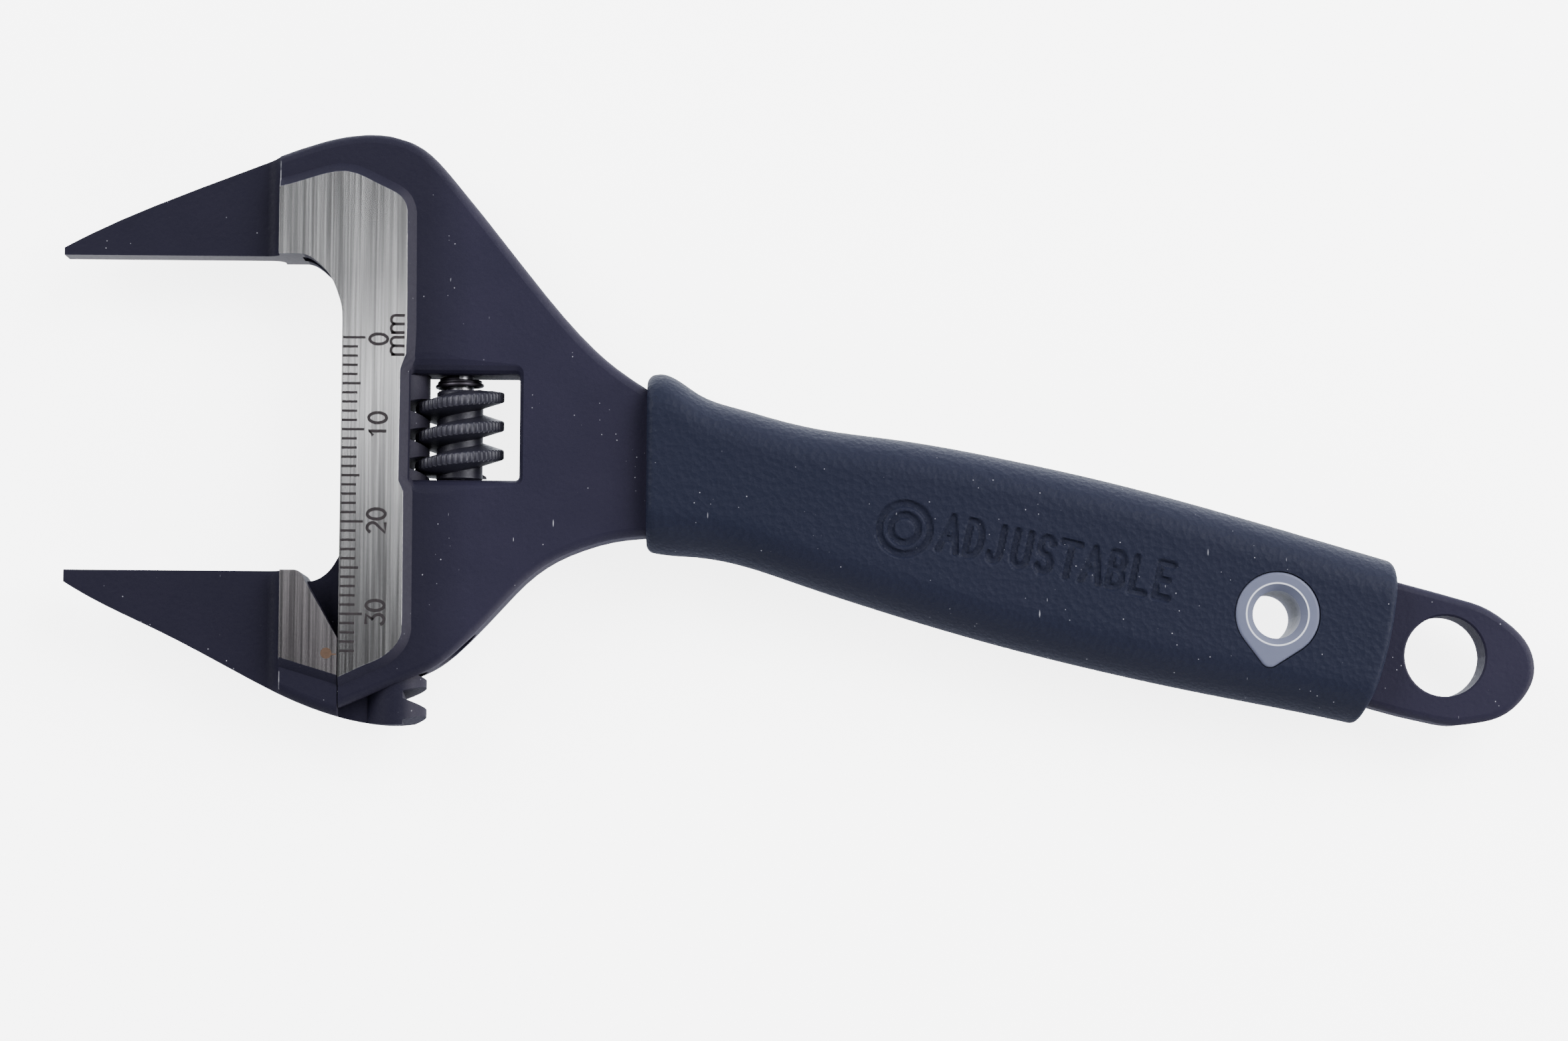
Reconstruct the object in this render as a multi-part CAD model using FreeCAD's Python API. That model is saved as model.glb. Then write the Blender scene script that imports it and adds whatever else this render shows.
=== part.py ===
import FreeCAD, Part
import math
import os

# Adjustable wrench, slim jaws, 34 mm opening, drawn fully open.  Millimetres.
#
# Drawing frame: X along the handle from the ruled head edge, Y along the jaw travel
# (closing is +Y) from the fixed jaw face, Z through the thickness from the mid-plane.
# The finished pieces are moved so that the origin is the bottom centre of the whole tool.

# ---- jaws ------------------------------------------------------------------------------
OPENING = 34.4            # face to face, fully open
THIN_HALF = 1.95          # half thickness of the slim jaw ends
FORGED_HALF = 4.0         # half thickness of the forged head
PAD_HALF = 4.75           # half thickness over the ground pads
PAD_SLOPE = 1.05          # width of the forged slope around a pad
PAD_SINK = 0.05           # foot of the slope below the forged face
TOP_ROUND = 1.0           # edge rounding along the upper outline of the head
LOW_ROUND = 0.9           # along its lower outline
JAW_ROUND = 1.2           # along the lower edge of the moving jaw
FIXED_TIP_X = -30.6
FIXED_TIP_HIGH = 0.8      # height of the blunt end of the fixed jaw
FIXED_SHOULDER_X = -7.0   # where the slim milling of the fixed jaw stops
MOVING_TIP_X = -30.1
MOVING_SHOULDER_X = -6.4
MILL_RADIUS = 1.5         # corner radius left by the milling cutter
JAW_GAP = 0.1             # between the moving jaw and the ruled edge of the head

# ---- rack rod, its channel and the web that joins it to the jaw -------------------------
ROD_X = 6.0
ROD_RADIUS = 3.35
ROD_TOP_Y = -12.5
CHANNEL_RADIUS = 3.43
WEB_HALF = 1.6
SLOT_HALF = 1.7
ROD_BEVEL = 0.5           # on the upper end of the rod
RACK_REACH_X = 10.0       # beyond the teeth, where the outline of the jaw ends
TOOTH_DEPTH = 2.4
GAP_AT_TIP = 2.3
GAP_AT_ROOT = 0.82
GAP_COUNT = 12

# ---- adjusting worm, module 1, single right-hand start ----------------------------------
PITCH = math.pi
WORM_X = 12.6
WORM_RADIUS = 4.85
WORM_PITCH_RADIUS = 4.25
WORM_CORE_RADIUS = 2.55
WORM_BORE_RADIUS = 1.56
WORM_TOP_Y = -14.5
WORM_BOTTOM_Y = -24.3
THREAD_BOTTOM_Y = -23.75
CREST_WIDTH = 1.05
THREAD_SINK = 0.15        # foot of the thread below the surface of the core
FLANK_ANGLE = 17.0
CREST_RIGHT_Y = -15.11    # height of the uppermost crest on the handle side
FIRST_GAP_Y = CREST_RIGHT_Y - PITCH / 2
THREAD_FIRST_TURN = -2.6  # ends of the thread, in turns from the front of the tool
THREAD_LAST_TURN = 0.55

# ---- window, pin and spring -------------------------------------------------------------
WINDOW_LEFT = 7.4
WINDOW_RIGHT = 19.25
WINDOW_TOP = -12.9
WINDOW_BOTTOM = -24.4
WINDOW_CORNER = 0.45
SCOOP_DEPTH = 1.5         # rolled edge of the window, where the thumb reaches the worm
SCOOP_TOP = 2.3           # how far the rolled edge reaches beyond the window
SCOOP_BOTTOM = 1.6
SCOOP_RIGHT = 1.0
SCOOP_STEPS = 5
PIN_RADIUS = 1.5
PIN_TOP_Y = -10.4
PIN_HEAD_RADIUS = 2.0
PIN_HEAD_TOP_Y = -37.6
PIN_END_Y = -40.5
PIN_SLOT_WIDTH = 0.6
PIN_SLOT_DEPTH = 0.8
SPRING_TOP_RADIUS = 2.0   # conical spring, wide end on the worm
SPRING_FOOT_RADIUS = 2.65
SPRING_WIRE_RADIUS = 0.22
SPRING_TURNS = 2.5
SPRING_PLAY = 0.05

# ---- handle -----------------------------------------------------------------------------
NECK_HALF = 3.2           # forged half thickness where the head enters the grip
SHANK_HALF = 2.8
SHANK_ROUND = 0.8
GRIP_START_X = 33.1
GRIP_HALF = 6.25
GRIP_EDGE = 0.75          # rounding of both ends of the grip
SIDE_ROUND = 4.8          # width of the rounded side of the grip, seen from the front
SIDE_POWER = 2.3
HANG_X = 120.0
HANG_Y = -42.75
HANG_RADIUS = 4.4
HANG_CHAMFER = 0.2
EYELET_X = 101.35
EYELET_Y = -38.5
EYELET_OUTER = 4.6
EYELET_TIP_RADIUS = 1.1
EYELET_TIP_REACH = 4.75
EYELET_TIP_ANGLE = -100.0
EYELET_FLANGE = 1.6
EYELET_BARREL = 3.6
EYELET_BORE = 2.6
EYELET_MOUTH = 3.3
EYELET_MOUTH_DEPTH = 0.9
EYELET_ROUND = 0.35       # rim of the eyelet

FAR = 80.0                # reach of cutting tools beyond the part


def vec(x, y, z=0.0):
    return FreeCAD.Vector(x, y, z)


def spline(points, start=None, end=None):
    curve = Part.BSplineCurve()
    places = [vec(x, y) for x, y in points]
    if start and end:
        curve.interpolate(places, InitialTangent=vec(*start), FinalTangent=vec(*end))
    else:
        curve.interpolate(places)
    return curve.toShape()


def lines(points):
    places = [vec(x, y) for x, y in points]
    return [Part.makeLine(a, b) for a, b in zip(places, places[1:])]


def prism(edges, half):
    face = Part.Face(Part.Wire(edges))
    face.translate(vec(0, 0, -half))
    return face.extrude(vec(0, 0, 2 * half))


def polygon_prism(points, half):
    return prism(lines(points + points[:1]), half)


def cylinder_y(x, radius, low, high):
    return Part.makeCylinder(radius, high - low, vec(x, low, 0), vec(0, 1, 0))


def both_faces(tool):
    """The tool and its mirror image through the mid-plane."""
    return [tool, tool.mirror(vec(0, 0, 0), vec(0, 0, 1))]


def rounded_rectangle(left, right, low, high, corner, z):
    wire = Part.makePolygon([vec(left, low, z), vec(right, low, z), vec(right, high, z),
                             vec(left, high, z), vec(left, low, z)])
    face = Part.Face(wire)
    block = face.extrude(vec(0, 0, 1))
    uprights = [e for e in block.Edges if abs(e.tangentAt(e.FirstParameter).z) > 0.9]
    block = block.makeFillet(corner, uprights)
    return [f for f in block.Faces if abs(f.CenterOfMass.z - z) < 0.01][0].OuterWire


def round_outline(solid, outline, radius):
    """Round the top and bottom edges of a slab where they follow the given outline edges."""
    picked = []
    for edge in solid.Edges:
        middle = edge.valueAt(0.5 * (edge.FirstParameter + edge.LastParameter))
        if abs(middle.z) < 2.0 or abs(edge.tangentAt(edge.FirstParameter).z) > 0.9:
            continue
        spot = Part.Vertex(middle.x, middle.y, 0)
        if min(spot.distToShape(line)[0] for line in outline) < 0.01:
            picked.append(edge)
    return solid.makeFillet(radius, picked)


def milling_cut(shoulder_x):
    """Material taken off both faces beyond the shoulder, leaving the slim jaw."""
    deep = THIN_HALF
    foot = vec(shoulder_x - MILL_RADIUS, -FAR, deep)
    knee = vec(shoulder_x, -FAR, deep + MILL_RADIUS)
    turn = MILL_RADIUS * (1 - math.sqrt(0.5))
    inside = vec(shoulder_x - turn, -FAR, deep + turn)
    wall = vec(shoulder_x, -FAR, FAR)
    corner = vec(-FAR, -FAR, FAR)
    start = vec(-FAR, -FAR, deep)
    edges = [Part.makeLine(start, foot), Part.Arc(foot, inside, knee).toShape(),
             Part.makeLine(knee, wall), Part.makeLine(wall, corner), Part.makeLine(corner, start)]
    return both_faces(Part.Face(Part.Wire(edges)).extrude(vec(0, 2 * FAR, 0)))


def pad(edges, limits):
    """Ground pads on both faces, with a forged slope around them, trimmed to the limits."""
    top = Part.Wire(edges)
    foot = top.makeOffset2D(PAD_SLOPE)
    foot.translate(vec(0, 0, FORGED_HALF - PAD_SINK))
    top.translate(vec(0, 0, PAD_HALF))
    raised = Part.makeLoft([foot, top], True, True)
    return [piece.common(limits) for piece in both_faces(raised)]


# ---- body ------------------------------------------------------------------------------

def head_outline():
    upper = spline([(FIXED_TIP_X, FIXED_TIP_HIGH), (-25.4, 3.45), (-16.4, 7.25), (-7.4, 10.75),
                    (-2.0, 12.6), (2.3, 13.3), (6.0, 12.9), (8.6, 11.7), (11.5, 8.85),
                    (15.9, 3.5), (20.3, -2.05), (24.7, -7.3), (29.1, -11.55), (33.0, -14.25),
                    (36.0, -16.05)])
    lower = spline([(36.0, -30.2), (32.0, -30.4), (29.2, -30.8), (26.3, -31.65),
                    (23.4, -32.9), (20.5, -34.9), (17.6, -37.85), (13.3, -42.35),
                    (11.6, -43.85), (9.0, -45.4)])
    lip = lines([(9.0, -45.4), (-4.0, -50.92)])
    inner = lines([(-4.0, -50.92), (-4.0, -8.0), (FIXED_TIP_X, -8.0),
                   (FIXED_TIP_X, FIXED_TIP_HIGH)])
    neck = lines([(36.0, -16.05), (36.0, -30.2)])
    return [upper], [lower], lip, neck, inner


def jaw_opening_cut():
    corner = spline([(-4.6, 0.0), (-2.7, -0.95), (-1.5, -2.2), (-0.35, -4.8), (0.0, -7.2)],
                    (1, -0.1), (0, -1))
    rest = lines([(0.0, -7.2), (0.0, -FAR), (-FAR, -FAR), (-FAR, 0.0), (-4.6, 0.0)])
    return prism([corner] + rest, FAR)


def head_taper():
    """The forging gets thinner from the worm window to the neck."""
    flat_end = 10.8
    neck_end = 37.0
    profile = [(-FAR, FORGED_HALF), (flat_end, FORGED_HALF), (neck_end, NECK_HALF),
               (neck_end, -NECK_HALF), (flat_end, -FORGED_HALF), (-FAR, -FORGED_HALF)]
    places = [vec(x, -FAR, z) for x, z in profile]
    return Part.Face(Part.makePolygon(places + places[:1])).extrude(vec(0, 2 * FAR, 0))


def head():
    upper, lower, lip, neck, inner = head_outline()
    slab = prism(upper + neck + lower + lip + inner, PAD_HALF).common(head_taper())
    slab = round_outline(slab, upper, TOP_ROUND)
    return round_outline(slab, lower + lip, LOW_ROUND)


def body_pad_edges():
    crown = spline([(-9.0, 7.15), (-3.5, 8.3), (0.4, 9.0), (4.2, 7.45), (6.2, 6.3), (6.9, 4.8)])
    side = lines([(6.9, 4.8), (7.0, -8.0), (6.9, -11.0), (6.3, -12.5), (6.25, -24.6),
                  (6.8, -25.8), (6.85, -40.3)])
    foot = spline([(6.85, -40.3), (6.5, -42.0), (5.5, -43.2), (2.9, -44.6)])
    rest = lines([(2.9, -44.6), (-9.0, -50.2), (-9.0, 7.15)])
    return [crown] + side + [foot] + rest


def shank():
    """The plate inside the grip, and the tang with the hanging hole."""
    upper = spline([(34.0, -15.4), (38.5, -17.5), (49.4, -20.6), (60.4, -22.3), (82.2, -26.5),
                    (104.0, -32.0), (113.0, -34.2), (123.0, -36.85)])
    end = spline([(123.0, -36.85), (126.6, -38.75), (129.2, -41.5), (129.8, -44.6),
                  (128.45, -47.4), (125.7, -49.45), (122.0, -50.15), (118.3, -49.85)],
                 (3.1, -0.9), (-3.1, 0.72))
    lower = spline([(118.3, -49.85), (112.3, -48.4), (104.0, -45.8), (82.2, -41.4),
                    (60.4, -35.7), (49.4, -32.2), (38.5, -29.6), (34.0, -29.4)])
    root = lines([(34.0, -29.4), (34.0, -15.4)])
    plate = prism([upper, end, lower] + root, SHANK_HALF)
    plate = round_outline(plate, [upper, end, lower], SHANK_ROUND)
    hole = Part.makeCylinder(HANG_RADIUS, FAR, vec(HANG_X, HANG_Y, -FAR / 2))
    plate = plate.cut(hole)
    wide = HANG_RADIUS + HANG_CHAMFER
    mouth = Part.makeCone(HANG_RADIUS, wide, HANG_CHAMFER,
                          vec(HANG_X, HANG_Y, SHANK_HALF - HANG_CHAMFER))
    return plate.cut(both_faces(mouth))


def web_slot():
    """Slot through the ruled edge, in which the web of the moving jaw slides."""
    points = [(-4.7, 0.7), (-1.6, 1.3), (0.2, 4.4), (2.4, 8.6), (ROD_X, 8.6), (ROD_X, -FAR),
              (-4.7, -FAR)]
    return polygon_prism(points, SLOT_HALF)


def window_cut():
    wire = rounded_rectangle(WINDOW_LEFT, WINDOW_RIGHT, WINDOW_BOTTOM, WINDOW_TOP,
                             WINDOW_CORNER, -FAR / 2)
    return Part.Face(wire).extrude(vec(0, 0, FAR))


def window_scoop():
    """Rolled edge around the window, clear of the pad: an ellipse quarter in cross-section."""
    rings = []
    for step in range(SCOOP_STEPS + 1):
        share = 1 - math.cos(math.pi / 2 * step / SCOOP_STEPS)
        sink = SCOOP_DEPTH * (1 - math.sin(math.pi / 2 * step / SCOOP_STEPS))
        rings.append(rounded_rectangle(WINDOW_LEFT, WINDOW_RIGHT + SCOOP_RIGHT * share,
                                       WINDOW_BOTTOM - SCOOP_BOTTOM * share,
                                       WINDOW_TOP + SCOOP_TOP * share,
                                       WINDOW_CORNER + share, FORGED_HALF - sink))
    roll = Part.makeLoft(rings, True, True)
    top = Part.Face(rings[-1]).extrude(vec(0, 0, 1))
    return both_faces(roll) + both_faces(top)


def body_blank():
    """The finished body before the hole for the eyelet is made in the shank."""
    upper, lower, lip, neck, inner = head_outline()
    limits = prism(upper + neck + lower + lip + inner, PAD_HALF)
    solid = head().cut(window_scoop())
    solid = solid.fuse(pad(body_pad_edges(), limits) + [shank()])
    solid = solid.cut(milling_cut(FIXED_SHOULDER_X) + [jaw_opening_cut(), web_slot(), window_cut()])
    solid = solid.cut([cylinder_y(ROD_X, CHANNEL_RADIUS, -FAR, FAR),
                       cylinder_y(WORM_X, PIN_RADIUS, PIN_HEAD_TOP_Y, PIN_TOP_Y),
                       cylinder_y(WORM_X, PIN_HEAD_RADIUS, -FAR, PIN_HEAD_TOP_Y)])
    return solid.removeSplitter()


def eyelet_hole():
    return Part.makeCylinder(EYELET_BARREL, FAR, vec(EYELET_X, EYELET_Y, -FAR / 2))


# ---- moving jaw ------------------------------------------------------------------------

def jaw_lower_edge():
    return spline([(MOVING_TIP_X, -35.7), (-27.0, -37.5), (-19.7, -41.0), (-12.4, -44.75),
                   (-7.0, -47.55), (-3.3, -49.15), (0.35, -50.3), (4.7, -50.98), (RACK_REACH_X, -50.4)])


def jaw_block():
    """The forged jaw in front of the ruled edge, milled slim towards its tip."""
    edge = jaw_lower_edge()
    rest = lines([(RACK_REACH_X, -50.4), (RACK_REACH_X, -OPENING), (MOVING_TIP_X, -OPENING),
                  (MOVING_TIP_X, -35.7)])
    block = round_outline(prism([edge] + rest, FORGED_HALF), [edge], JAW_ROUND)
    corner = spline([(-4.9, -OPENING), (-4.1, -34.75), (-3.55, -35.75)], (1, 0), (0.5, -0.87))
    right = lines([(-3.55, -35.75), (-JAW_GAP, -41.7), (-JAW_GAP, -FAR), (-FAR, -FAR),
                   (-FAR, -OPENING), (-4.9, -OPENING)])
    keep = prism([corner] + right, FAR)
    limits = prism([edge] + rest, PAD_HALF).common(keep)
    pads = pad(lines([(-12.0, -32.0), (4.0, -32.0), (4.0, -46.97), (-12.0, -42.15),
                      (-12.0, -32.0)]), limits)
    return block.common(keep).fuse(pads).cut(milling_cut(MOVING_SHOULDER_X))


def jaw_web():
    edge = spline([(-4.9, -35.1), (-3.0, -35.4), (-1.5, -34.5), (-0.45, -33.0), (1.0, -30.0),
                   (2.6, -27.5)])
    rest = lines([(2.6, -27.5), (ROD_X, -27.5), (ROD_X, -60.0), (-4.9, -60.0), (-4.9, -35.1)])
    return prism([edge] + rest, WEB_HALF)


def rack_gap(height):
    """One tooth gap, skewed by the lead angle of the worm."""
    tip_x = ROD_X + ROD_RADIUS
    root_x = tip_x - TOOTH_DEPTH
    spread = (GAP_AT_TIP - GAP_AT_ROOT) / 2 / TOOTH_DEPTH
    outer_x = tip_x + 1.0
    outer = GAP_AT_TIP / 2 + spread
    inner = GAP_AT_ROOT / 2
    reach = 5.0
    skew = PITCH / (2 * math.pi * WORM_PITCH_RADIUS) * reach
    places = [vec(root_x, height - inner - skew, -reach), vec(outer_x, height - outer - skew, -reach),
              vec(outer_x, height + outer - skew, -reach), vec(root_x, height + inner - skew, -reach)]
    return Part.Face(Part.makePolygon(places + places[:1])).extrude(vec(0, 2 * skew, 2 * reach))


def rack_rod():
    rod = cylinder_y(ROD_X, ROD_RADIUS, -60.0, ROD_TOP_Y)
    crown = [e for e in rod.Edges if e.BoundBox.YMin > ROD_TOP_Y - 0.1]
    return rod.makeChamfer(ROD_BEVEL, crown)


def moving_jaw():
    edge = jaw_lower_edge()
    envelope = prism([edge] + lines([(RACK_REACH_X, -50.4), (RACK_REACH_X, 0.0), (MOVING_TIP_X, 0.0),
                                     (MOVING_TIP_X, -35.7)]), FAR)
    solid = jaw_block().fuse([jaw_web(), rack_rod()]).common(envelope)
    gaps = [rack_gap(FIRST_GAP_Y - PITCH * step) for step in range(GAP_COUNT)]
    return solid.cut(gaps).removeSplitter()


# ---- worm, pin, spring -----------------------------------------------------------------

def onto_worm_axis(shape, angle, height):
    """Moves a shape drawn about Z onto the worm axis; angle 0 faces the front of the tool."""
    shape.rotate(vec(0, 0, 0), vec(0, 0, 1), math.degrees(angle))
    shape.rotate(vec(0, 0, 0), vec(1, 1, 1), 240.0)
    shape.translate(vec(WORM_X, height, 0))
    return shape


def worm_thread(turns):
    root_radius = WORM_CORE_RADIUS - THREAD_SINK
    slope = math.tan(math.radians(FLANK_ANGLE))
    tip = CREST_WIDTH / 2
    root = tip + slope * (WORM_RADIUS - root_radius)
    helix = Part.makeHelix(PITCH, turns * PITCH, WORM_RADIUS)
    profile = Part.makePolygon([vec(root_radius, 0, -root), vec(WORM_RADIUS, 0, -tip),
                                vec(WORM_RADIUS, 0, tip), vec(root_radius, 0, root),
                                vec(root_radius, 0, -root)])
    return Part.Wire(helix.Edges).makePipeShell([profile], True, True)


def adjusting_worm():
    first = 2 * math.pi * THREAD_FIRST_TURN
    last = 2 * math.pi * THREAD_LAST_TURN
    start_y = CREST_RIGHT_Y - PITCH / 4 + PITCH * first / (2 * math.pi)
    low = WORM_BOTTOM_Y - start_y
    foot = THREAD_BOTTOM_Y - start_y
    high = WORM_TOP_Y - start_y
    span = Part.makeCylinder(WORM_RADIUS + 1.0, high - foot, vec(0, 0, foot))
    thread = worm_thread((last - first) / (2 * math.pi)).common(span)
    core = Part.makeCylinder(WORM_CORE_RADIUS, high - low, vec(0, 0, low))
    bore = Part.makeCylinder(WORM_BORE_RADIUS, FAR, vec(0, 0, -FAR / 2))
    return onto_worm_axis(core.fuse(thread).cut(bore), first, start_y)


def worm_pin():
    shaft = cylinder_y(WORM_X, PIN_RADIUS, PIN_HEAD_TOP_Y, PIN_TOP_Y)
    head = cylinder_y(WORM_X, PIN_HEAD_RADIUS, PIN_END_Y, PIN_HEAD_TOP_Y)
    slot = Part.makeBox(PIN_SLOT_WIDTH, PIN_SLOT_DEPTH, 6.0,
                        vec(WORM_X - PIN_SLOT_WIDTH / 2, PIN_END_Y, -3.0))
    return shaft.fuse(head).cut(slot).removeSplitter()


def worm_spring():
    """Conical spring of near-round wire between the worm and the top of the window."""
    low = WORM_TOP_Y + SPRING_PLAY + SPRING_WIRE_RADIUS
    high = WINDOW_TOP - SPRING_PLAY - SPRING_WIRE_RADIUS
    cone = math.degrees(math.atan((SPRING_FOOT_RADIUS - SPRING_TOP_RADIUS) / (high - low)))
    helix = Part.makeHelix((high - low) / SPRING_TURNS, high - low, SPRING_TOP_RADIUS, cone)
    corners = [vec(SPRING_TOP_RADIUS + SPRING_WIRE_RADIUS * math.cos(math.pi * step / 4), 0,
                   SPRING_WIRE_RADIUS * math.sin(math.pi * step / 4)) for step in range(8)]
    section = Part.makePolygon(corners + corners[:1])
    coil = Part.Wire(helix.Edges).makePipeShell([section], True, True)
    coil.rotate(vec(0, 0, 0), vec(1, 0, 0), 180.0)
    return onto_worm_axis(coil, 0.0, high)


# ---- grip and eyelet -------------------------------------------------------------------

def side_curve(edge_y, inner_y, half):
    """Rounded side of the grip, from the front face round to the rear face."""
    count = 12
    places = []
    for step in range(count + 1):
        angle = math.pi * (0.5 - step / count)
        out = abs(math.cos(angle)) ** (2 / SIDE_POWER)
        rise = math.copysign(abs(math.sin(angle)) ** (2 / SIDE_POWER), math.sin(angle))
        places.append((inner_y + (edge_y - inner_y) * out, half * rise))
    return places


def oval(x, high, low, half):
    """Closed cross-section of the grip at one station: two flats and two rounded sides."""
    upper = side_curve(high, high - SIDE_ROUND, half)
    lower = side_curve(low, low + SIDE_ROUND, half)
    edges = []
    for places in (upper, lower[::-1]):
        curve = Part.BSplineCurve()
        curve.interpolate([vec(x, y, z) for y, z in places])
        edges.append(curve.toShape())
    front = Part.makeLine(vec(x, lower[0][0], half), vec(x, upper[0][0], half))
    rear = Part.makeLine(vec(x, upper[-1][0], -half), vec(x, lower[-1][0], -half))
    return Part.Wire([front, edges[0], rear, edges[1]])


def grip_outside():
    stations = [(GRIP_START_X, -12.75, -31.85), (34.7, -12.45, -32.15), (38.5, -14.5, -32.45),
                (43.0, -16.15, -33.2), (49.4, -17.85, -35.2), (60.4, -19.45, -38.7),
                (71.3, -21.3, -41.8), (82.2, -23.6, -44.45), (93.1, -26.35, -46.75),
                (104.0, -29.4, -48.8), (118.0, -33.4, -51.75)]
    sections = [oval(x, high, low, GRIP_HALF) for x, high, low in stations]
    return Part.makeLoft(sections, True, False)


def grip_end_cut():
    arc = Part.Arc(vec(114.45, -28.0), vec(113.65, -40.6), vec(109.35, -52.5)).toShape()
    rest = lines([(109.35, -52.5), (130.0, -52.5), (130.0, -28.0), (114.45, -28.0)])
    return prism([arc] + rest, FAR)


def round_grip_ends(solid):
    """Round the edges of the two end faces, which are the only ones that do not run along X."""
    ends = []
    for edge in solid.Edges:
        box = edge.BoundBox
        if box.XLength < 7.0 and (box.ZLength > 1.0 or box.YLength > 3.0):
            ends.append(edge)
    return solid.makeFillet(GRIP_EDGE, ends)


def teardrop():
    outer = EYELET_OUTER
    small = EYELET_TIP_RADIUS
    lean = math.radians(EYELET_TIP_ANGLE)
    swing = math.acos((outer - small) / EYELET_TIP_REACH)

    def on(radius, along, angle):
        x = EYELET_X + along * math.cos(lean) + radius * math.cos(angle)
        y = EYELET_Y + along * math.sin(lean) + radius * math.sin(angle)
        return vec(x, y)

    left = lean - swing
    right = lean + swing
    big = Part.Arc(on(outer, 0, left), on(outer, 0, lean + math.pi), on(outer, 0, right)).toShape()
    tip = Part.Arc(on(small, EYELET_TIP_REACH, left), on(small, EYELET_TIP_REACH, lean),
                   on(small, EYELET_TIP_REACH, right)).toShape()
    sides = [Part.makeLine(on(outer, 0, a), on(small, EYELET_TIP_REACH, a)) for a in (left, right)]
    return Part.Face(Part.Wire(Part.__sortEdges__([big, tip] + sides)))


def eyelet_blank():
    flange = teardrop().extrude(vec(0, 0, EYELET_FLANGE))
    flange.translate(vec(0, 0, GRIP_HALF - EYELET_FLANGE))
    barrel = Part.makeCylinder(EYELET_BARREL, GRIP_HALF - EYELET_FLANGE / 2,
                               vec(EYELET_X, EYELET_Y, 0))
    return flange.fuse(barrel).removeSplitter()


def eyelet():
    solid = eyelet_blank()
    rim = [e for e in solid.Edges if e.BoundBox.ZMin > GRIP_HALF - 0.01]
    solid = solid.makeFillet(EYELET_ROUND, rim)
    bore = Part.makeCylinder(EYELET_BORE, FAR, vec(EYELET_X, EYELET_Y, -FAR / 2))
    mouth = Part.makeCone(EYELET_BORE, EYELET_MOUTH, EYELET_MOUTH_DEPTH,
                          vec(EYELET_X, EYELET_Y, GRIP_HALF - EYELET_MOUTH_DEPTH))
    return solid.cut([bore, mouth])


def grip_sleeve(core):
    solid = grip_outside().cut(grip_end_cut())
    solid = round_grip_ends(solid).cut(core)
    pocket = teardrop().extrude(vec(0, 0, EYELET_FLANGE + 1.0))
    pocket.translate(vec(0, 0, GRIP_HALF - EYELET_FLANGE))
    return solid.cut([eyelet_hole()] + both_faces(pocket))


# ---- assembly --------------------------------------------------------------------------

def build():
    core = body_blank()
    front = eyelet()
    return {
        "wrench_body": core.cut(eyelet_hole()),
        "moving_jaw": moving_jaw(),
        "adjusting_worm": adjusting_worm(),
        "worm_pin": worm_pin(),
        "worm_spring": worm_spring(),
        "grip_sleeve": grip_sleeve(core),
        "eyelet_front": front,
        "eyelet_rear": front.mirror(vec(0, 0, 0), vec(0, 0, 1)),
    }


def export(pieces):
    box = Part.makeCompound(list(pieces.values())).optimalBoundingBox(False)
    shift = vec(-(box.XMin + box.XMax) / 2, -(box.YMin + box.YMax) / 2, -box.ZMin)
    print("shift", shift, "size", box.XLength, box.YLength, box.ZLength)
    os.makedirs("parts", exist_ok=True)
    for name, piece in pieces.items():
        piece.translate(shift)
        solids = piece.Solids
        print(name, "solids", len(solids), "valid", piece.isValid(), "volume", round(piece.Volume, 2))
        solids[0].exportStep("parts/" + name + ".step")


export(build())
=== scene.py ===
import bpy
import math
import numpy as np
from mathutils import Matrix, Vector, noise


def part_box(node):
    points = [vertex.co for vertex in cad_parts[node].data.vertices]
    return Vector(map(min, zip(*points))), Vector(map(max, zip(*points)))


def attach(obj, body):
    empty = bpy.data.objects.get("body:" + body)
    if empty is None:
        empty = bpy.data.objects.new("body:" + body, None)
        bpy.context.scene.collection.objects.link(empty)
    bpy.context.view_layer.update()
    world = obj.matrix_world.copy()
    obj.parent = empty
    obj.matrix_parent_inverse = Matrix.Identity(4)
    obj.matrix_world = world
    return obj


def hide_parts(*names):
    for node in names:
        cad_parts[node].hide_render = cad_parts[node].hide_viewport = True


# Looks of the adjustable wrench.  Shapes are drawn in millimetres in the CAD drawing frame:
# X from the ruled edge, Y from the fixed jaw face, Z from the mid-plane.

# ---- head --------------------------------------------------------------------------------
OPENING = 34.4              # face to face, fully open
PAD_HALF = 4.75             # half thickness over the ground pads
SHOULDER_HIGHLIGHT_FROM_HALF = 3.75     # the painted highlight on the shoulder edge lies beyond this half thickness
FIXED_SHOULDER_X = -7.0     # where the slim milling of the fixed jaw stops
MOVING_SHOULDER_X = -6.4
SHOULDER_HIGHLIGHT_WIDTH = 0.09         # painted highlight, to each side of a shoulder
SHADE_UP_TO_X = 9.0          # painted shade: the coat is darkest beside the pads
SHADE_GONE_FROM_X = 14.0
HIGHLIGHT_CENTRE_Y = -15.0       # painted highlight: the pads are brightest beside the top of the worm
HIGHLIGHT_NEAR = 2.0             # and the painted highlight fades between these distances from there
HIGHLIGHT_FAR = 13.0
FOOT_SHADE_Y = -42.0         # and painted shade darkens them again towards the foot of the head
FOOT_SHADE_END_Y = -26.0

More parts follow.
